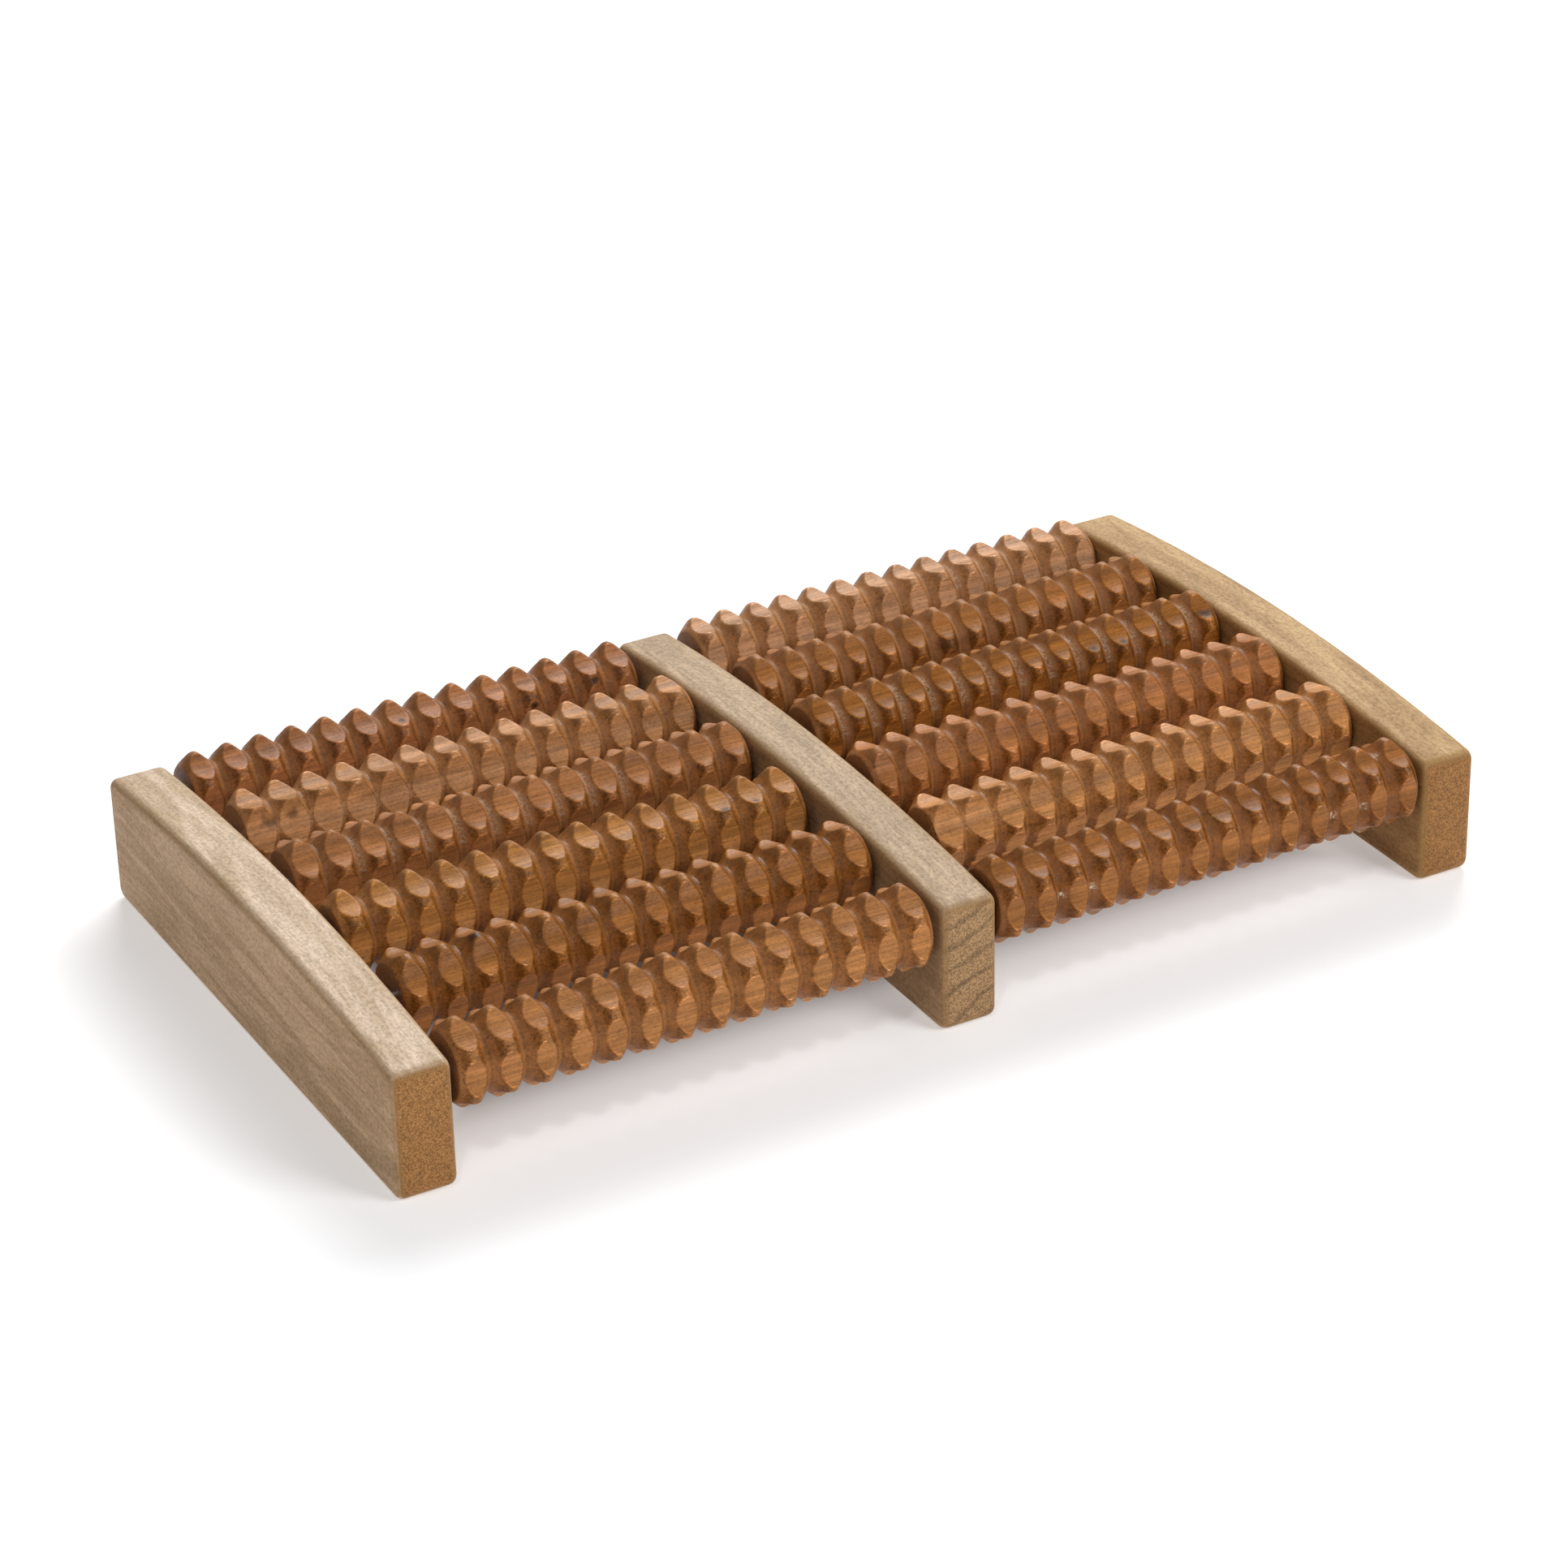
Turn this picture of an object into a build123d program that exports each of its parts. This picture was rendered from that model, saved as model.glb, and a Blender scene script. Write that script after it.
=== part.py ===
from build123d import *
import math
import os

# Foot massage roller: three arched wooden rails hold six steel rods, and a pair of
# ringed and fluted wooden rollers turns on each rod, one on either side of the centre rail.
# Millimetres. X runs along the rods, Y from the front to the back, Z up. The origin is
# on the table, below the middle of the centre rail, which stands a little right of the
# middle between the side rails. The left rollers are longer by as much.

# Rails
overall_width = 275.0
rail_thickness = 14.0
centre_rail_offset = 1.7
rail_length = 154.0
rail_end_height = 31.0
rail_mid_height = 35.6
rail_top_corner_radius = 2.6
rail_bottom_corner_radius = 3.0
rail_arris_radius = 2.0

# Rods, one in each row of rollers
row_count = 6
row_pitch = 27.5
rod_radius = 2.5
rod_end_chamfer = 0.4
rod_depth_below_top = 7.0
rod_press_interference = 0.04
blind_hole_depth = 9.5
drill_overrun = 5.0

# Rollers: a stick turned into a string of rings, then cut lengthwise with shallow flutes
ring_count = 14
ring_pitches = {"left": 8.27, "right": 8.10}
crest_radius = 10.5
crest_arc_radius = 1.5
groove_root_radius = 0.9
flank_angle_deg = 43.0
flute_count = 6
flute_floor_radius = 8.8
flute_cutter_radius = 7.5
running_clearance = 0.1

# Where each roller stopped, front row first: the angle from the back, up and over, at
# which one ridge between two flutes lies, and how far it has slid along its rod
roll_angles_deg = {
    "left": [26.0, 42.0, 17.0, 33.0, 0.0, 18.0],
    "right": [24.0, 48.0, 45.0, 29.0, 32.0, 2.0],
}
slides = {
    "left": [-0.3, 0.6, -0.6, 0.4, 0.9, -0.1],
    "right": [-0.3, 0.9, 0.4, 0.9, 0.8, 0.8],
}

left_rail_x = -(overall_width - rail_thickness) / 2 - centre_rail_offset
right_rail_x = left_rail_x + overall_width - rail_thickness
bay_centres_x = {"left": left_rail_x / 2, "right": right_rail_x / 2}
rod_start_x = left_rail_x + rail_thickness / 2 - blind_hole_depth
rod_end_x = right_rail_x - rail_thickness / 2 + blind_hole_depth


def top_arc_radius():
    """Radius of the arch that rises from the rail's ends to its middle."""
    rise = rail_mid_height - rail_end_height
    half_chord = rail_length / 2
    return (half_chord**2 + rise**2) / (2 * rise)


def top_height(y):
    """Height of the rail's arched top at a distance y from its middle."""
    radius = top_arc_radius()
    return rail_mid_height - radius + math.sqrt(radius**2 - y**2)


def row_positions():
    """Place of each rod along the rail, and its height: the rods follow the arch."""
    for row in range(row_count):
        y = (row - (row_count - 1) / 2) * row_pitch
        yield y, top_height(y) - rod_depth_below_top


def rail_blank(x_centre):
    """Arched bar with every arris eased, before its rod holes are drilled."""
    bottom_front = (-rail_length / 2, 0)
    bottom_back = (rail_length / 2, 0)
    top_front = (-rail_length / 2, rail_end_height)
    top_back = (rail_length / 2, rail_end_height)
    with BuildPart() as bar:
        with BuildSketch(Plane.YZ.offset(x_centre - rail_thickness / 2)):
            with BuildLine():
                Polyline(top_front, bottom_front, bottom_back, top_back)
                ThreePointArc(top_back, (0, rail_mid_height), top_front)
            make_face()
        extrude(amount=rail_thickness)
        ends = bar.edges().filter_by(Axis.X).group_by(Axis.Z)
        fillet(ends[-1], rail_top_corner_radius)
        ends = bar.edges().filter_by(Axis.X).group_by(Axis.Z)
        fillet(ends[0], rail_bottom_corner_radius)
        sides = bar.faces().sort_by(Axis.X)
        fillet(sides[0].edges() + sides[-1].edges(), rail_arris_radius)
    return bar.part


def rod_hole(x_from, x_to, y, z):
    """Drilled hole along X, slightly smaller than the rod that is pressed into it."""
    plane = Plane(origin=(x_from, y, z), z_dir=(1, 0, 0))
    circle = plane * Circle(rod_radius - rod_press_interference)
    return extrude(circle, amount=x_to - x_from)


def rail(x_centre, x_from, x_to):
    """Rail with a rod hole in each row, drilled from x_from to x_to."""
    shape = rail_blank(x_centre)
    for y, z in row_positions():
        shape -= rod_hole(x_from, x_to, y, z)
    return shape


def rod(y, z):
    """Plain steel rod that reaches from one side rail, through the middle, to the other."""
    plane = Plane(origin=(rod_start_x, y, z), z_dir=(1, 0, 0))
    bar = extrude(plane * Circle(rod_radius), amount=rod_end_x - rod_start_x)
    return chamfer(bar.edges().filter_by(GeomType.CIRCLE), rod_end_chamfer)


def ring_profile(ring_pitch):
    """Half section of the turned roller: a row of round-crested rings between V grooves."""
    flank = math.radians(flank_angle_deg)
    tangent_x = crest_arc_radius * math.sin(flank)
    tangent_r = crest_radius - crest_arc_radius * (1 - math.cos(flank))
    half_root = groove_root_radius * math.sin(flank)
    root_x = ring_pitch / 2 - half_root
    root_r = tangent_r - (root_x - tangent_x) * math.tan(flank)
    root_floor_r = root_r - groove_root_radius * (1 - math.cos(flank))
    roller_length = ring_count * ring_pitch
    end_x = roller_length / 2 - half_root
    with BuildSketch(Plane.XY) as sketch:
        with BuildLine():
            for ring in range(ring_count):
                x = (ring + 0.5) * ring_pitch - roller_length / 2
                crest_start = (x - tangent_x, tangent_r)
                crest_end = (x + tangent_x, tangent_r)
                root_start = (x + root_x, root_r)
                Line((x - root_x, root_r), crest_start)
                ThreePointArc(crest_start, (x, crest_radius), crest_end)
                Line(crest_end, root_start)
                if ring < ring_count - 1:
                    root_floor = (x + ring_pitch / 2, root_floor_r)
                    root_end = (x + root_x + 2 * half_root, root_r)
                    ThreePointArc(root_start, root_floor, root_end)
            Polyline((-end_x, root_r), (-end_x, 0), (end_x, 0), (end_x, root_r))
        make_face()
    return sketch.sketch


def roller_blank(ring_pitch):
    """Turned stick along X, bored for its rod, with hollow flutes between its ridges."""
    shape = revolve(ring_profile(ring_pitch), axis=Axis.X)
    roller_length = ring_count * ring_pitch
    end_plane = Plane.YZ.offset(-roller_length / 2)
    shape -= extrude(end_plane * Circle(rod_radius + running_clearance), amount=roller_length)
    cutter_offset = flute_floor_radius + flute_cutter_radius
    for flute in range(flute_count):
        angle = 2 * math.pi * (flute + 0.5) / flute_count
        centre = Pos(cutter_offset * math.cos(angle), cutter_offset * math.sin(angle))
        shape -= extrude(end_plane * centre * Circle(flute_cutter_radius), amount=roller_length)
    return shape


def save(shape, node):
    """Write one node of the assembly."""
    export_step(shape, f"parts/{node}.step")


os.makedirs("parts", exist_ok=True)

drill_half_span = rail_thickness / 2 + drill_overrun
save(rail(left_rail_x, rod_start_x, left_rail_x + drill_half_span), "left_rail")
save(rail(0, -drill_half_span, drill_half_span), "centre_rail")
save(rail(right_rail_x, right_rail_x - drill_half_span, rod_end_x), "right_rail")

for row, (y, z) in enumerate(row_positions()):
    save(rod(y, z), f"rod_{row + 1}")

for bank, ring_pitch in ring_pitches.items():
    blank = roller_blank(ring_pitch)
    for row, (y, z) in enumerate(row_positions()):
        place = Pos(bay_centres_x[bank] + slides[bank][row], y, z)
        turn = Rot(X=roll_angles_deg[bank][row])
        save(place * turn * blank, f"{bank}_roller_{row + 1}")
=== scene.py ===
import math
from dataclasses import dataclass, field

import bpy
import numpy as np
from mathutils import Matrix, Vector


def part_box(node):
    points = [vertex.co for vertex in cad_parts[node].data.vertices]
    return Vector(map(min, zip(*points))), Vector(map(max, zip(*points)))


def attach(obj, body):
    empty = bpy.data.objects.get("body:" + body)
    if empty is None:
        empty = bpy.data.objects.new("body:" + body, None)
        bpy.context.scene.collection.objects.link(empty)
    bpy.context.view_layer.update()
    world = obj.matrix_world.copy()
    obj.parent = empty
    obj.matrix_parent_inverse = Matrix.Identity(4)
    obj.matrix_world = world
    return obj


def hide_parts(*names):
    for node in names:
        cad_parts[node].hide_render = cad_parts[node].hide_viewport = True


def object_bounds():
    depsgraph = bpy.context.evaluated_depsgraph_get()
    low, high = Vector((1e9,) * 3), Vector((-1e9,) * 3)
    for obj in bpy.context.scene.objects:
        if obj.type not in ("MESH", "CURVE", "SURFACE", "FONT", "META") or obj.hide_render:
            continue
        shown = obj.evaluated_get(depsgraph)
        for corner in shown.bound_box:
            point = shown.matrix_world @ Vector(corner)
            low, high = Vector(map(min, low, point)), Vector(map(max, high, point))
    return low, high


# The looks of a foot massage roller: three pale wooden rails, six steel rods, and twelve
# varnished rollers, each turned into 14 rings and cut with six flutes. Metres, Z up.

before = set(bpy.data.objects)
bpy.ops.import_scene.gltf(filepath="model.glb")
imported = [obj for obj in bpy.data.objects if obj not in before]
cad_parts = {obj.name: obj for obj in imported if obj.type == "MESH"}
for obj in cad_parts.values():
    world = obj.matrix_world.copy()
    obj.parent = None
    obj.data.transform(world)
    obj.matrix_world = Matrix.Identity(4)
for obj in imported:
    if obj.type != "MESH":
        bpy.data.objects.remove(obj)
cad_low, cad_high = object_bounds()

MM = 0.001

# Rollers. The counts, the outer, root and floor radii and the bore are the CAD's. The rings are a
# little fuller than the CAD's and the flutes a little flatter.
row_count = 6
ring_count = 14
crest_radius = 10.5 * MM
crest_arc_radius = 1.7 * MM
groove_root_radius = 0.9 * MM
flank_angle = math.radians(45)
flute_count = 6
flute_floor_radius = 8.8 * MM
flute_cutter_radius = 9.5 * MM
bore_radius = 2.6 * MM

# How finely the rollers are meshed, and how worn their edges are
samples_per_ring = 24
samples_around = 192
edge_softness = 0.3 * MM
end_softness = 0.5 * MM
crest_wear = 0.8 * MM
flute_wear = 0.15 * MM
glint_edge_width = 0.24 * MM

# Painted highlight: the edges on the left of each ring get a stronger painted glint than those on
# the right
glint_left = 1.0
glint_right = 0.4

# How dark the painted shade on the flanks just below the crests is, and how bright the painted
# highlight on the edges of the flutes
flank_shadow = 0.78
edge_highlight = 1.9

# Uneven work of the lathe and the cutter, as the largest change each way
ring_wander = 0.14 * MM
crest_wander = 0.12 * MM
flute_depth_wander = 0.18 * MM
flute_turn_wander = math.radians(1.4)
surface_wander = 0.05 * MM

# Cells of unevenness along and around a roller
broad_cells = (42, 14)
fine_cells = (120, 48)
ragged_cells = (90, 40)

# A channel runs out over this many rings. A knot is drawn out along the grain and ragged.
channel_runout = 3
knot_stretch = 1.4
knot_raggedness = 0.35

# What shows on the rollers besides their two browns. Dust lies in the grooves, and in the same
# colour a painted sheen lightens the flanks above a height over the axis; residue sticks where the
# groove mask is above a level. The glint colour is a painted highlight on the edges of the flutes.
dust_and_sheen_colour = (0.44, 0.22, 0.10)
sheen_from = 7.2 * MM
sheen_full = 9.4 * MM
knot_colour = (0.030, 0.012, 0.006)
residue_colour = (0.60, 0.45, 0.32)
residue_from = 0.7
residue_fade = 0.2
glint_colour = (0.85, 0.62, 0.42)
varnish_specular = 0.12
varnish_bump = 0.06 * MM

# Rails: the tint of their sides, partly a warmer wood and partly painted shade, and the arrises,
# worn over an uneven band beside each top edge
side_tint_and_shade = (0.74, 0.62, 0.48)
arris_colour = (0.42, 0.23, 0.08)
wear_reach = 3.5 * MM
wear_full = 1 * MM
wear_wander = 1.2 * MM
oil_specular = 0.2
oil_bump = 0.07 * MM

# Rods
steel_dark = (0.52, 0.52, 0.53)
steel_light = (0.68, 0.68, 0.69)

# Growth rings on the ends of the rails: how far apart, and how steeply they rise to the right
growth_ring = 6 * MM
ring_slope = 0.55

# The paper glows a little, painted light which keeps its shadows faint. Inside the object's outline
# the glow fades out and the white fades to a darker colour, a painted shadow, so that no glow or
# white shows between the rollers.
floor_half = 3.0
painted_floor_glow = 0.33
floor_colour = (0.87, 0.87, 0.88)
painted_shadow_floor_colour = (0.3, 0.27, 0.26)
painted_shadow_from = 42 * MM
glow_full_from = 20 * MM
white_full_from = 22 * MM

# Camera in front, to the left and above, with a long lens and a slight roll
camera_azimuth = math.radians(-28.69)
camera_elevation = math.radians(28.51)
camera_roll = math.radians(-1.37)
camera_distance = 1.0864
camera_target = Vector((-0.00315, 0, 0.020))
camera_lens = 107.87
camera_shift = (-0.0012, 0.0154)

# Lights: direction from the object, distance, size and watts
softboxes = {
    "key_back_right": ((0.42, 0.61, 0.67), 1.2, 0.8, 14.5),
    "fill_front_right": ((0.42, -0.71, 0.55), 1.2, 0.5, 6.4),
    "fill_left": ((-0.75, -0.25, 0.6), 1.3, 0.8, 1.4),
    "glint_front_left": ((-0.40, -0.48, 0.78), 1.2, 0.1, 1.6),
}
world_strength = 0.17


@dataclass
class Timber:
    """One rail: its paler and darker wood, its end grain and how wild its figure is."""

    pale: tuple
    dark: tuple
    end: tuple
    wild: float
    ring_shade: float
    seed: int


# ring_shade is how dark the growth rings show on the ends, from 0, black, to 1, as the rest
timbers = {
    "left_rail": Timber((0.74, 0.57, 0.42), (0.56, 0.41, 0.265), (0.33, 0.155, 0.049),
                        wild=0.8, ring_shade=1.0, seed=1),
    "centre_rail": Timber((0.53, 0.375, 0.235), (0.42, 0.295, 0.18), (0.345, 0.205, 0.096),
                          wild=1.8, ring_shade=0.7, seed=21),
    "right_rail": Timber((0.54, 0.345, 0.155), (0.39, 0.23, 0.09), (0.276, 0.126, 0.036),
                         wild=0.6, ring_shade=0.98, seed=41),
}


@dataclass
class Look:
    """One roller: how it stands, its two browns, and what the wood and the varnish show."""

    roll: float
    flute: tuple
    flank: tuple
    depth: float = 0.0
    gloss: float = 0.2
    dust_and_sheen: float = 0.33
    channels: list = field(default_factory=list)
    knots: list = field(default_factory=list)
    residue: list = field(default_factory=list)
    seed: int = 0


# roll is in degrees, from the back, up and over, to one ridge. depth, in mm, makes all the flutes
# deeper. A channel is (angle, depth mm, last ring): one flute cut deeper still, from the left end to
# that ring. A knot is (ring, angle, width mm, darkness). A residue is (first ring, last ring, first
# angle, last angle, strength). Ring 1 is at the left.
looks = {
    "left_roller_1": Look(26, (0.40, 0.169, 0.053), (0.29, 0.104, 0.022), gloss=0.3, dust_and_sheen=0.30),
    "left_roller_2": Look(
        42, (0.36, 0.142, 0.037), (0.25, 0.087, 0.014), gloss=0.16, dust_and_sheen=0.20,
        knots=[(3, 100, 2.2, 0.9)],
    ),
    "left_roller_3": Look(
        17, (0.41, 0.176, 0.047), (0.30, 0.109, 0.020), dust_and_sheen=0.35,
        knots=[(12, 129, 2.0, 0.8), (13, 127, 1.6, 0.7)],
    ),
    "left_roller_4": Look(
        33, (0.38, 0.157, 0.053), (0.27, 0.097, 0.022), depth=0.35, dust_and_sheen=0.45,
        residue=[(2, 10, 95, 165, 0.4)],
    ),
    "left_roller_5": Look(
        0, (0.47, 0.221, 0.087), (0.34, 0.137, 0.037), depth=0.2, dust_and_sheen=0.45,
        channels=[(150, 1.0, 6), (90, 0.4, 4)],
        knots=[(1.3, 140, 3.0, 0.6), (2, 136, 2.0, 0.6)],
    ),
    "left_roller_6": Look(
        18, (0.35, 0.142, 0.053), (0.25, 0.087, 0.021), dust_and_sheen=0.40,
        knots=[(7, 120, 1.2, 0.9), (11, 152, 1.4, 0.9), (13, 140, 1.6, 0.9)],
    ),
    "right_roller_1": Look(
        24, (0.29, 0.112, 0.029), (0.22, 0.070, 0.012), gloss=0.16, dust_and_sheen=0.30,
        residue=[(2, 2.8, 168, 180, 1), (11, 11.8, 172, 184, 0.9), (12, 12.8, 88, 98, 0.8)],
    ),
    "right_roller_2": Look(
        48, (0.52, 0.231, 0.076), (0.37, 0.143, 0.033), depth=0.1, dust_and_sheen=0.35,
        channels=[(138, 1.1, 2), (90, 0.7, 2)],
    ),
    "right_roller_3": Look(45, (0.40, 0.157, 0.048), (0.29, 0.098, 0.020), dust_and_sheen=0.40),
    "right_roller_4": Look(
        29, (0.31, 0.115, 0.021), (0.22, 0.071, 0.008), dust_and_sheen=0.50,
        knots=[(10, 137, 1.6, 0.7), (11, 138, 1.6, 0.7), (14, 130, 2.4, 0.8)],
        residue=[(1, 13, 90, 165, 0.45)],
    ),
    "right_roller_5": Look(
        32, (0.35, 0.136, 0.034), (0.25, 0.084, 0.015), dust_and_sheen=0.60,
        knots=[(7, 155, 3.5, 0.5)],
    ),
    "right_roller_6": Look(
        2, (0.51, 0.261, 0.125), (0.37, 0.162, 0.053), dust_and_sheen=0.60,
        residue=[(9, 10.5, 100, 150, 0.5)],
    ),
}


# Materials


class Shader:
    """A material's node tree, with a short way to add each kind of node that the woods need."""

    def __init__(self, name):
        self.material = bpy.data.materials.new(name)
        self.material.use_nodes = True
        self.tree = self.material.node_tree
        self.surface = self.tree.nodes["Principled BSDF"]
        self.place = self.add("ShaderNodeTexCoord").outputs["Object"]

    def add(self, kind, **settings):
        node = self.tree.nodes.new(kind)
        for name, value in settings.items():
            setattr(node, name, value)
        return node

    def feed(self, socket, source):
        """Give a socket another node's output, a plain value or a colour."""
        if isinstance(source, bpy.types.NodeSocket):
            self.tree.links.new(source, socket)
        elif socket.type == "RGBA":
            socket.default_value = (*source, 1.0)
        else:
            socket.default_value = source

    def math(self, operation, first, second=0.0):
        node = self.add("ShaderNodeMath", operation=operation)
        self.feed(node.inputs[0], first)
        self.feed(node.inputs[1], second)
        return node.outputs[0]

    def attribute(self, name):
        return self.add("ShaderNodeAttribute", attribute_name=name).outputs["Fac"]

    def split(self, vector):
        node = self.add("ShaderNodeSeparateXYZ")
        self.feed(node.inputs[0], vector)
        return node.outputs

    def noise(self, cells, detail=2.0, roughness=0.5, distortion=0.0, offset=0.0):
        """Noise from 0 to 1 with this many cells per metre along X, Y and Z."""
        stretch = self.add("ShaderNodeMapping")
        self.feed(stretch.inputs["Vector"], self.place)
        stretch.inputs["Scale"].default_value = cells
        stretch.inputs["Location"].default_value = (offset, offset, offset)
        node = self.add("ShaderNodeTexNoise")
        self.feed(node.inputs["Vector"], stretch.outputs[0])
        node.inputs["Scale"].default_value = 1.0
        node.inputs["Detail"].default_value = detail
        node.inputs["Roughness"].default_value = roughness
        node.inputs["Distortion"].default_value = distortion
        return node.outputs[0]

    def fade(self, value, low, high, start=0.0, end=1.0):
        """From start, where value is at low, smoothly to end, where it is at high."""
        node = self.add("ShaderNodeMapRange", interpolation_type="SMOOTHSTEP")
        for name, source in (("Value", value), ("From Min", low), ("From Max", high),
                             ("To Min", start), ("To Max", end)):
            self.feed(node.inputs[name], source)
        return node.outputs[0]

    def blend(self, amount, first, second, kind="MIX"):
        """Colour first turning into colour second as amount goes from 0 to 1."""
        node = self.add("ShaderNodeMix", data_type="RGBA", blend_type=kind)
        self.feed(node.inputs["Factor"], amount)
        self.feed(node.inputs["A"], first)
        self.feed(node.inputs["B"], second)
        return node.outputs["Result"]

    def shade(self, colour, brightness):
        """Colour multiplied by a brightness that varies over the surface."""
        node = self.add("ShaderNodeVectorMath", operation="SCALE")
        self.feed(node.inputs[0], colour)
        self.feed(node.inputs["Scale"], brightness)
        return node.outputs[0]

    def bump(self, height, depth):
        node = self.add("ShaderNodeBump")
        self.feed(node.inputs["Height"], height)
        node.inputs["Distance"].default_value = depth
        self.feed(self.surface.inputs["Normal"], node.outputs[0])


def roller_wood(name, look):
    """Varnished wood with its grain along the roller: pale in the flutes, dark on the flanks."""
    s = Shader(name)
    flute, crest, edge = (s.attribute(mask) for mask in ("flute", "crest", "edge"))
    groove, knot, residue = (s.attribute(mask) for mask in ("groove", "knot", "residue"))
    fibre = s.noise((90, 2000, 2000), detail=4, roughness=0.6, offset=look.seed)
    figure = s.noise((22, 330, 330), detail=2, distortion=0.6, offset=look.seed + 5)
    speckle = s.noise((1300, 1700, 1700), detail=3, roughness=0.75, offset=look.seed + 9)
    stain = s.noise((110, 160, 160), detail=3, roughness=0.6, offset=look.seed + 13)

    cut = s.math("MAXIMUM", flute, s.math("MULTIPLY", crest, 0.85))
    colour = s.blend(cut, look.flank, look.flute)
    colour = s.shade(colour, s.fade(figure, 0.3, 0.7, 0.82, 1.18))
    # Painted shade: the flanks are darkened in a band just below the crests
    below_crest = s.math("MULTIPLY", s.fade(groove, 0.02, 0.2), s.fade(groove, 0.75, 0.4))
    colour = s.shade(colour, s.fade(below_crest, 0, 1, 1.0, flank_shadow))
    # Painted highlight: the edges of the flutes are lightened and blended towards the glint colour,
    # more on the left of each ring
    colour = s.shade(colour, s.fade(edge, 0, 1, 1.0, edge_highlight))
    glint = s.math("MULTIPLY", s.fade(edge, 0.55, 0.95), s.fade(stain, 0.42, 0.56))
    colour = s.blend(s.math("MULTIPLY", glint, 0.6), colour, glint_colour)
    colour = s.shade(colour, s.fade(fibre, 0.35, 0.65, 1.16, 0.82))
    pitted = s.shade(colour, s.fade(speckle, 0.46, 0.66, 1.12, 0.5))
    colour = s.blend(s.fade(flute, 0, 1, 1.0, 0.45), colour, pitted)
    colour = s.shade(colour, s.fade(stain, 0.3, 0.7, 0.88, 1.1))
    dust_and_sheen_mask = s.math("MULTIPLY", s.fade(groove, 0.4, 0.8), s.fade(stain, 0.35, 0.6, 0.5, 1.0))
    # Painted sheen: the flanks are lightened above a height over the axis, in the same colour as the
    # dust in the grooves
    painted_top_sheen = s.fade(s.split(s.place)[2], sheen_from, sheen_full)
    painted_top_sheen = s.math("MULTIPLY", painted_top_sheen, s.fade(speckle, 0.4, 0.6, 0.35, 1.0))
    painted_top_sheen = s.math("MULTIPLY", painted_top_sheen, s.math("SUBTRACT", 1.0, flute))
    dust_and_sheen_mask = s.math("MULTIPLY", s.math("MAXIMUM", dust_and_sheen_mask, painted_top_sheen), look.dust_and_sheen)
    colour = s.blend(dust_and_sheen_mask, colour, dust_and_sheen_colour)
    # Painted shade: the bottoms of the grooves are darkened
    colour = s.shade(colour, s.fade(groove, 0.93, 1.0, 1.0, 0.7))
    colour = s.blend(knot, colour, knot_colour)
    crumbs = s.math("MULTIPLY", residue, s.fade(speckle, 0.46, 0.6))
    colour = s.blend(crumbs, colour, residue_colour)
    s.feed(s.surface.inputs["Base Color"], colour)

    rough = s.fade(speckle, 0.3, 0.7, look.gloss, look.gloss + 0.12)
    rough = s.math("ADD", rough, s.math("MULTIPLY", flute, 0.15))
    rough = s.math("ADD", rough, s.math("MULTIPLY", dust_and_sheen_mask, 0.4))
    rough = s.math("MULTIPLY", rough, s.fade(edge, 0, 1, 1.0, 0.4))
    rough = s.math("ADD", rough, s.math("MULTIPLY", crumbs, 0.4))
    s.feed(s.surface.inputs["Roughness"], rough)
    s.surface.inputs["Specular IOR Level"].default_value = varnish_specular
    height = s.math("ADD", fibre, s.math("MULTIPLY", speckle, 0.6))
    s.bump(height, varnish_bump)
    return s.material


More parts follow.
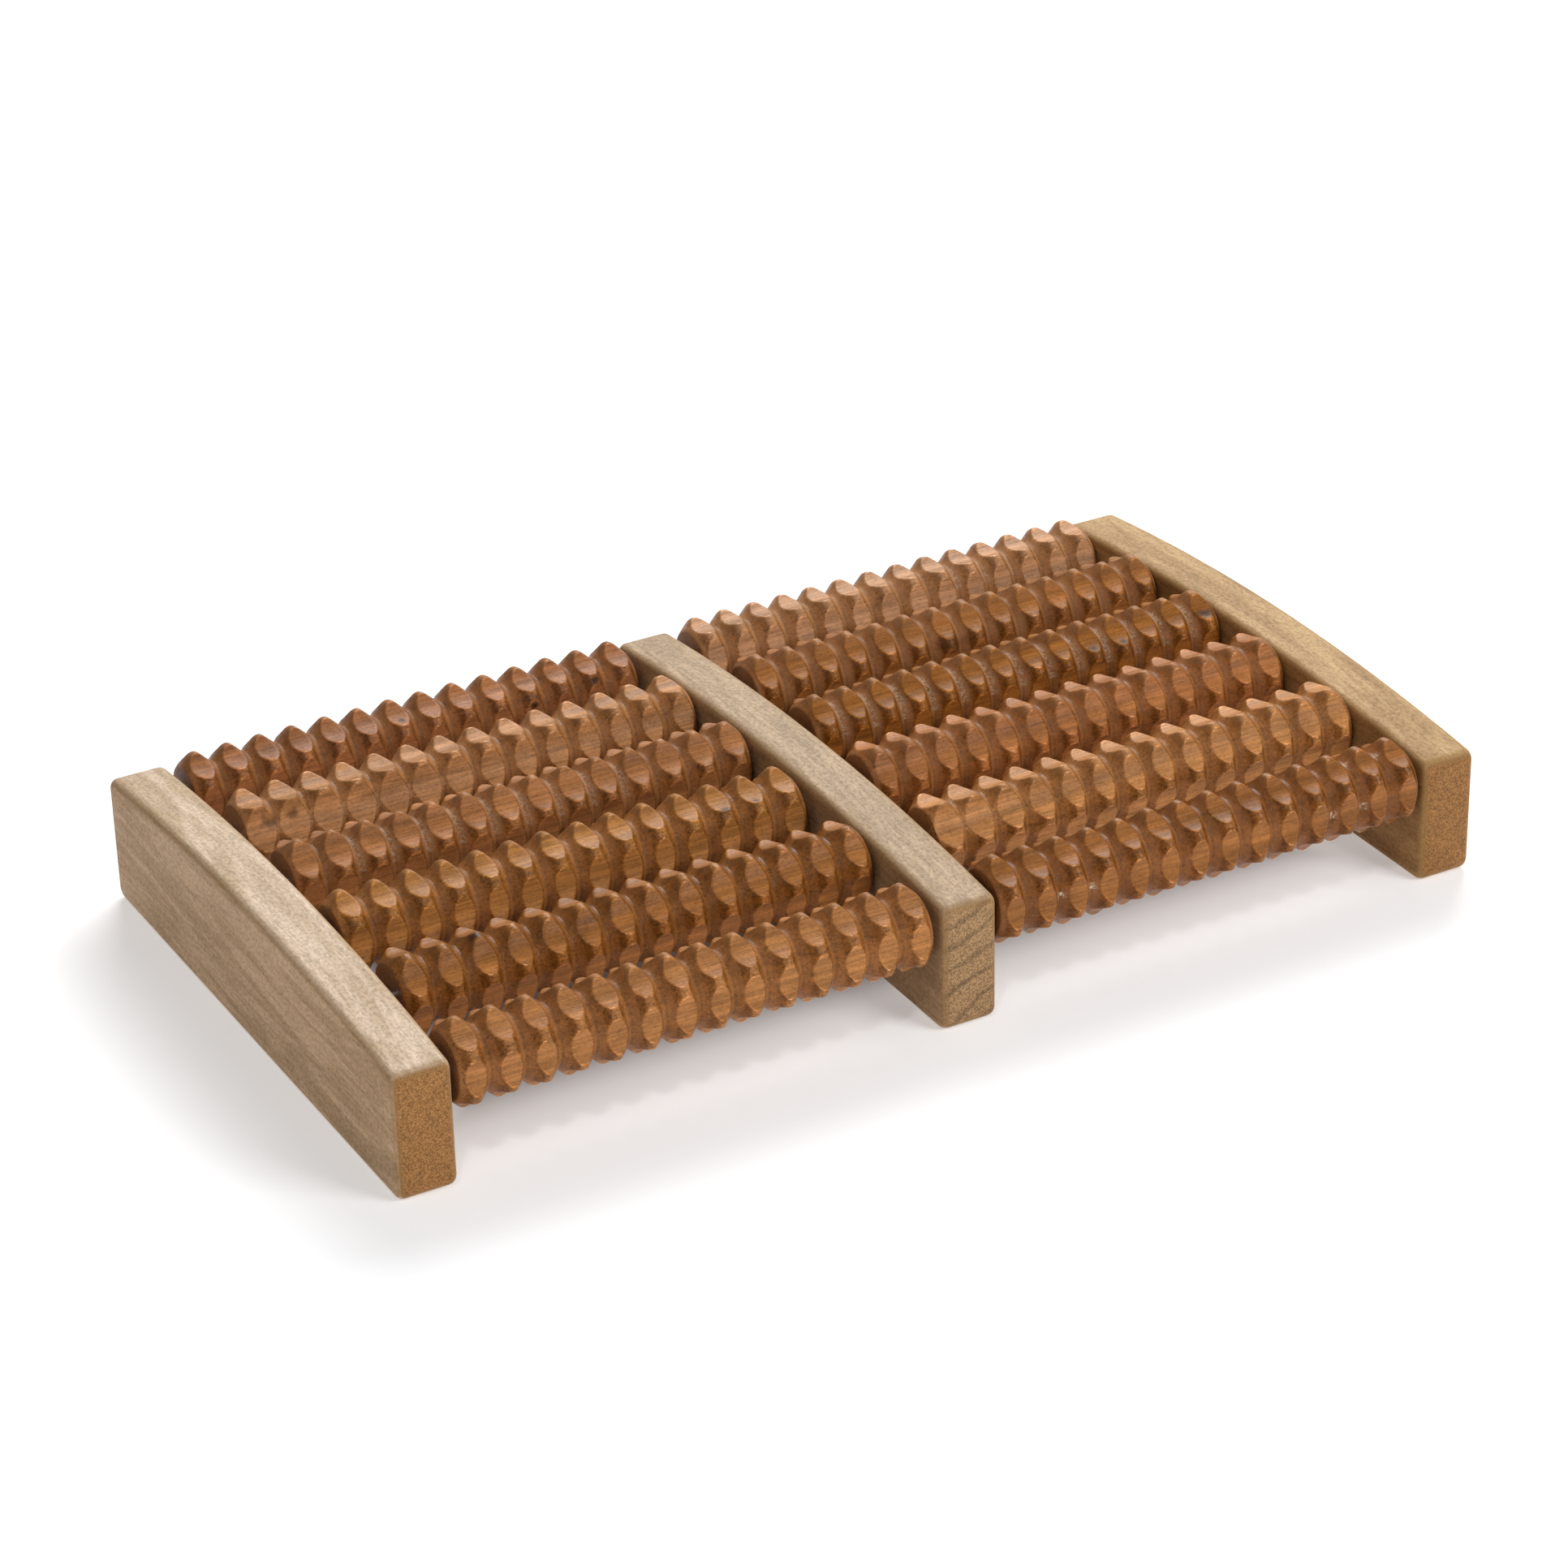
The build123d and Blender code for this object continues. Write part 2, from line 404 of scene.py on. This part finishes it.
def rail_wood(node, timber):
    """Oiled pale wood with its grain along the rail, end grain on both ends and warm arrises."""
    s = Shader(f"{node}_wood")
    low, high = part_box(node)
    middle = (low.x + high.x) / 2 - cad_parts[node].matrix_world.translation.x
    half = (high.x - low.x) / 2
    normal = s.split(s.add("ShaderNodeNewGeometry").outputs["Normal"])
    across = [s.math("ABSOLUTE", part) for part in normal]
    widest = s.math("MAXIMUM", s.math("MAXIMUM", across[0], across[1]), across[2])
    seed = timber.seed
    fibre = s.noise((1500, 90, 1500), detail=4, roughness=0.65, offset=seed)
    figure = s.noise((170, 22, 170), detail=4, roughness=0.6, distortion=timber.wild,
                     offset=seed + 3)
    speckle = s.noise((1500, 900, 1500), detail=3, roughness=0.75, offset=seed + 7)
    pores = s.noise((2800, 2800, 2800), detail=2, roughness=0.7, offset=seed + 11)
    bent = s.noise((60, 20, 60), detail=2, offset=seed + 15)
    place = s.split(s.place)
    rise = s.math("SUBTRACT", place[2], s.math("MULTIPLY", place[0], ring_slope))
    rise = s.math("ADD", s.math("MULTIPLY", rise, 1 / growth_ring), s.math("MULTIPLY", bent, 2.0))
    rings = s.math("PINGPONG", rise, 0.5)

    colour = s.blend(s.fade(figure, 0.38, 0.62), timber.pale, timber.dark)
    colour = s.shade(colour, s.fade(fibre, 0.35, 0.65, 1.06, 0.88))
    colour = s.shade(colour, s.fade(speckle, 0.42, 0.66, 1.06, 0.74))
    grain_end = s.shade(timber.end, s.fade(pores, 0.38, 0.62, 0.58, 1.32))
    grain_end = s.shade(grain_end, s.fade(rings, 0.03, 0.2, timber.ring_shade, 1.06))
    # Partly painted shade: the sides are made darker and warmer than the top
    colour = s.blend(s.fade(across[0], 0.6, 0.9), colour, side_tint_and_shade, kind="MULTIPLY")
    colour = s.blend(s.fade(across[1], 0.55, 0.85), colour, grain_end)
    aside = s.math("ABSOLUTE", s.math("SUBTRACT", place[0], middle))
    aside = s.math("ADD", aside, s.fade(figure, 0.3, 0.7, -wear_wander, wear_wander))
    worn = s.math("MULTIPLY", s.fade(aside, half - wear_reach, half - wear_full), across[2])
    arris = s.math("MAXIMUM", s.fade(widest, 0.99, 0.88), s.math("MULTIPLY", worn, 0.4))
    warm = s.shade(colour, 0.82)
    warm = s.blend(0.45, warm, arris_colour)
    colour = s.blend(s.math("MULTIPLY", arris, 0.75), colour, warm)
    s.feed(s.surface.inputs["Base Color"], colour)
    s.feed(s.surface.inputs["Roughness"], s.fade(speckle, 0.3, 0.7, 0.5, 0.66))
    s.surface.inputs["Specular IOR Level"].default_value = oil_specular
    s.bump(s.math("ADD", fibre, speckle), oil_bump)
    return s.material


def rod_steel():
    """Bright drawn steel with fine marks along the rod."""
    s = Shader("rod_steel")
    marks = s.noise((90, 6000, 6000), detail=2)
    s.feed(s.surface.inputs["Base Color"], s.blend(marks, steel_dark, steel_light))
    s.feed(s.surface.inputs["Roughness"], s.fade(marks, 0.3, 0.7, 0.22, 0.4))
    s.surface.inputs["Metallic"].default_value = 1.0
    return s.material


def floor_white():
    """Matt white studio paper with a little painted glow of its own, and a painted shadow under the
    object.
    """
    s = Shader("floor_white")
    s.surface.inputs["Roughness"].default_value = 0.9
    s.surface.inputs["Specular IOR Level"].default_value = 0.1
    s.surface.inputs["Emission Color"].default_value = (1, 1, 1, 1)
    place = s.split(s.place)
    half_x, half_y = (cad_high.x - cad_low.x) / 2, (cad_high.y - cad_low.y) / 2
    beside = s.math("SUBTRACT", s.math("ABSOLUTE", place[0]), half_x)
    before = s.math("SUBTRACT", s.math("ABSOLUTE", place[1]), half_y)
    outside = s.math("MAXIMUM", beside, before)
    s.feed(s.surface.inputs["Emission Strength"],
           s.fade(outside, -painted_shadow_from, -glow_full_from, 0, painted_floor_glow))
    # Painted shadow: the paper darkens inside the object's outline
    s.feed(s.surface.inputs["Base Color"],
           s.blend(s.fade(outside, -painted_shadow_from, -white_full_from),
                   painted_shadow_floor_colour, floor_colour))
    return s.material


# Roller meshes


def soft_minimum(first, second, softness):
    """The smaller of two radii, rounded where they cross, and the second's share of it."""
    share = np.clip(0.5 + 0.5 * (first - second) / softness, 0, 1)
    radius = first * (1 - share) + second * share - softness * share * (1 - share)
    return radius, share


def uneven(rng, along, around, cells_along, cells_around):
    """Smooth noise from -1 to 1 over a roller, closed around it. Both places run from 0 to 1."""
    values = rng.uniform(-1, 1, (cells_along + 2, cells_around))
    u, v = along * cells_along, around * cells_around
    i, j = np.floor(u).astype(int), np.floor(v).astype(int)
    fu, fv = u - i, v - j
    fu, fv = fu * fu * (3 - 2 * fu), fv * fv * (3 - 2 * fv)
    low, high = j % cells_around, (j + 1) % cells_around
    near = values[i, low] * (1 - fv) + values[i, high] * fv
    far = values[i + 1, low] * (1 - fv) + values[i + 1, high] * fv
    return near * (1 - fu) + far * fu


def ring_radius(distance, ring_pitch):
    """Radius of the turned wood at a distance along X from the middle of its ring."""
    tangent_x = crest_arc_radius * math.sin(flank_angle)
    tangent_r = crest_radius - crest_arc_radius * (1 - math.cos(flank_angle))
    root_x = ring_pitch / 2 - groove_root_radius * math.sin(flank_angle)
    root_r = tangent_r - (root_x - tangent_x) * math.tan(flank_angle)
    floor_r = root_r - groove_root_radius * (1 - math.cos(flank_angle))
    x = np.abs(distance)
    crest = crest_radius - crest_arc_radius + np.sqrt(np.maximum(crest_arc_radius**2 - x**2, 0))
    flank = tangent_r - (x - tangent_x) * math.tan(flank_angle)
    inside = np.maximum(groove_root_radius**2 - (ring_pitch / 2 - x) ** 2, 0)
    root = floor_r + groove_root_radius - np.sqrt(inside)
    return np.where(x < tangent_x, crest, np.where(x < root_x, flank, root)), floor_r


def flute_radius(angle, depth):
    """Radius of the cutter's hollow at an angle from the middle of the nearest flute."""
    centre = flute_floor_radius + flute_cutter_radius - depth
    inside = flute_cutter_radius**2 - (centre * np.sin(angle)) ** 2
    hollow = centre * np.cos(angle) - np.sqrt(np.maximum(inside, 0))
    return np.where(inside > 0, hollow, 2 * crest_radius)


def spot(rings_away, degrees, angle, ring_pitch, width):
    """1 around a place on the roller, fading to 0 across the rim of a spot of this width."""
    turn = (angle - math.radians(degrees) + math.pi) % (2 * math.pi) - math.pi
    apart = np.hypot(rings_away * ring_pitch / knot_stretch, turn * flute_floor_radius)
    return np.clip(1.5 - apart / (width * MM / 2), 0, 1)


def flute_depths(look, flute, rings):
    """How much deeper than the plain cut each flute is, with the channels that start at the left."""
    depth = look.depth * MM + flute_wear
    for degrees, extra, last in look.channels:
        here = flute == int((degrees - look.roll) // (360 / flute_count)) % flute_count
        left_of_end = np.clip((last + channel_runout - rings) / channel_runout, 0, 1)
        depth = depth + extra * MM * here * left_of_end
    return depth


def knot_mask(look, rng, place, rings, angle, ring_pitch):
    """How dark the knots are at each point."""
    mask = np.zeros_like(place[0])
    for ring_at, degrees, width, darkness in look.knots:
        ragged = width * (1 + knot_raggedness * uneven(rng, *place, *ragged_cells))
        mark = spot(rings - ring_at, degrees, angle, ring_pitch, ragged)
        mask = np.maximum(mask, darkness * mark)
    return mask


def residue_mask(look, rings, angle, groove):
    """How much residue sticks in the grooves at each point."""
    degrees = np.degrees(angle)
    in_groove = np.clip((groove - residue_from) / residue_fade, 0, 1)
    mask = np.zeros_like(groove)
    for first, last, low, high, strength in look.residue:
        inside = (rings > first) & (rings < last + 1) & (degrees > low) & (degrees < high)
        mask = np.maximum(mask, strength * inside * in_groove)
    return mask


def roller_grid(look, length, rng):
    """Points of the roller's outer surface, row by row along X, and masks of what shows where."""
    steps = ring_count * samples_per_ring + 1
    along = np.linspace(0, 1, steps)[:, None]
    around = (np.arange(samples_around) / samples_around)[None, :]
    span = length + 2 * groove_root_radius * math.sin(flank_angle)
    ring_pitch = span / ring_count
    x = (along - 0.5) * span
    angle = around * 2 * math.pi

    ring = np.clip(np.floor(along * ring_count).astype(int), 0, ring_count - 1)
    middles = (np.arange(ring_count) + 0.5) * ring_pitch - span / 2
    distance = x - middles[ring]
    turned, floor_r = ring_radius(distance, ring_pitch)
    crest_share = np.clip((turned - floor_r) / (crest_radius - floor_r), 0, 1)
    turned = turned + crest_share * rng.uniform(-crest_wander, 0, ring_count)[ring]
    shift = rng.uniform(-ring_wander, ring_wander, ring_count)[ring] * np.cos(
        math.pi * distance / ring_pitch)

    turn = (angle - math.radians(look.roll)) / (2 * math.pi / flute_count)
    flute = np.floor(turn).astype(int) % flute_count
    off_middle = (turn - np.floor(turn) - 0.5) * 2 * math.pi / flute_count
    wander = rng.uniform(-1, 1, (2, ring_count, flute_count))
    off_middle = off_middle + flute_turn_wander * wander[0][ring, flute]
    rings = along * ring_count + 0.5
    depth = flute_depths(look, flute, rings)
    depth = depth + flute_depth_wander * wander[1][ring, flute] * np.cos(
        math.pi * distance / ring_pitch)
    hollow = flute_radius(off_middle, depth)
    radius, share = soft_minimum(turned + 0 * hollow, hollow + 0 * turned, edge_softness)
    place = (along + 0 * around, around + 0 * along)
    radius = radius + surface_wander * uneven(rng, *place, *broad_cells)
    radius = radius + 0.5 * surface_wander * uneven(rng, *place, *fine_cells)

    on_crest = np.clip(2 * (turned - crest_radius + crest_wear) / crest_wear, 0, 1)
    # Painted highlight, stronger on the left edges of each ring than on the right
    glint_side = np.where(distance < 0, glint_left, glint_right)
    groove = (1 - crest_share) * (1 - share)
    masks = {
        "flute": share,
        "groove": groove,
        "crest": on_crest + 0 * radius,
        "edge": np.exp(-((turned - hollow) / glint_edge_width) ** 2) * crest_share * glint_side,
        "knot": knot_mask(look, rng, place, rings, angle, ring_pitch),
        "residue": residue_mask(look, rings, angle, groove),
    }
    x = np.clip(x + shift, -length / 2, length / 2)
    return x + 0 * radius, radius, angle + 0 * radius, masks


def roller_mesh(name, look, length):
    """Closed mesh of one roller: the outer surface, the flat ends and the bore."""
    rng = np.random.default_rng(look.seed)
    x, radius, angle, masks = roller_grid(look, length, rng)
    around = angle[0]

    def band(at, value):
        return np.full((1, samples_around), at), np.full((1, samples_around), value)

    end = length / 2
    rim = min(radius[0].min(), radius[-1].min()) - end_softness
    left = [band(-end, bore_radius), band(-end, rim)]
    right = [band(end, rim), band(end, bore_radius)]
    xs = np.vstack([b[0] for b in left] + [x] + [b[0] for b in right])
    rs = np.vstack([b[1] for b in left] + [radius] + [b[1] for b in right])
    points = np.stack([xs, rs * np.cos(around), rs * np.sin(around)], -1)
    rows = len(xs)
    row = np.arange(rows)[:, None]
    col = np.arange(samples_around)[None, :]
    next_row, next_col = (row + 1) % rows, (col + 1) % samples_around
    corners = [row * samples_around + col, row * samples_around + next_col,
               next_row * samples_around + next_col, next_row * samples_around + col]
    faces = np.stack(corners, -1).reshape(-1, 4)

    mesh = bpy.data.meshes.new(name)
    mesh.from_pydata(points.reshape(-1, 3).tolist(), [], faces.tolist())
    smooth = np.ones((rows, samples_around), bool)
    smooth[[0, rows - 2, rows - 1]] = False
    mesh.polygons.foreach_set("use_smooth", smooth.ravel())
    for mask, values in masks.items():
        padded = np.pad(values, ((len(left), len(right)), (0, 0)), mode="edge")
        attribute = mesh.attributes.new(mask, "FLOAT", "POINT")
        attribute.data.foreach_set("value", padded.astype(np.float32).ravel())
    mesh.update()
    return mesh


def make_roller(node, rod, look):
    """Shown roller in the place of its CAD node, centred on its rod."""
    low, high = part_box(node)
    rod_low, rod_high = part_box(rod)
    mesh = roller_mesh(f"{node}_turned", look, high.x - low.x)
    mesh.materials.append(roller_wood(f"{node}_wood", look))
    piece = bpy.data.objects.new(f"{node}_turned", mesh)
    bpy.context.scene.collection.objects.link(piece)
    axis = (rod_low + rod_high) / 2
    piece.location = ((low.x + high.x) / 2, axis.y, axis.z)
    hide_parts(node)
    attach(piece, node)


def dress(node, material):
    """Give a CAD node that stays in view a finished material."""
    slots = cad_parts[node].material_slots
    for slot in slots:
        slot.material = material


# Studio


def make_floor():
    """Wide sheet of white paper just under the object."""
    mesh = bpy.data.meshes.new("floor")
    signs = ((-1, -1), (1, -1), (1, 1), (-1, 1))
    corners = [(x * floor_half, y * floor_half, 0) for x, y in signs]
    mesh.from_pydata(corners, [], [(0, 1, 2, 3)])
    mesh.materials.append(floor_white())
    floor = bpy.data.objects.new("floor", mesh)
    floor.location = ((cad_low.x + cad_high.x) / 2, (cad_low.y + cad_high.y) / 2, cad_low.z)
    bpy.context.scene.collection.objects.link(floor)


def make_softbox(name, direction, distance, size, watts):
    """Square area light that faces the object from a direction."""
    light = bpy.data.lights.new(name, "AREA")
    light.size = size
    light.energy = watts
    lamp = bpy.data.objects.new(name, light)
    towards = Vector(direction).normalized()
    lamp.location = towards * distance
    lamp.rotation_euler = towards.to_track_quat("Z", "Y").to_euler()
    bpy.context.scene.collection.objects.link(lamp)


def make_world():
    """Even white light from all around."""
    world = bpy.data.worlds.new("studio")
    world.use_nodes = True
    background = world.node_tree.nodes["Background"]
    background.inputs["Color"].default_value = (1, 1, 1, 1)
    background.inputs["Strength"].default_value = world_strength
    bpy.context.scene.world = world


def make_camera():
    """Camera that looks at its target from its azimuth, elevation and distance."""
    level = math.cos(camera_elevation)
    back = Vector((math.sin(camera_azimuth) * level, -math.cos(camera_azimuth) * level,
                   math.sin(camera_elevation)))
    right = Vector((0, 0, 1)).cross(back).normalized()
    turn = Matrix((right, back.cross(right), back)).transposed().to_4x4()
    data = bpy.data.cameras.new("camera")
    data.sensor_width = 36
    data.lens = camera_lens
    data.shift_x, data.shift_y = camera_shift
    data.clip_end = 20
    camera = bpy.data.objects.new("camera", data)
    camera.matrix_world = (Matrix.Translation(camera_target + back * camera_distance) @ turn
                           @ Matrix.Rotation(camera_roll, 4, "Z"))
    bpy.context.scene.collection.objects.link(camera)
    bpy.context.scene.camera = camera


for seed, (node, look) in enumerate(looks.items(), start=1):
    look.seed = seed
    make_roller(node, f"rod_{node[-1]}", look)

for node, timber in timbers.items():
    dress(node, rail_wood(node, timber))

steel = rod_steel()
for row in range(1, row_count + 1):
    dress(f"rod_{row}", steel)

make_floor()
make_world()
for name, (direction, distance, size, watts) in softboxes.items():
    make_softbox(name, direction, distance, size, watts)
make_camera()
bpy.context.scene.view_settings.view_transform = "Standard"
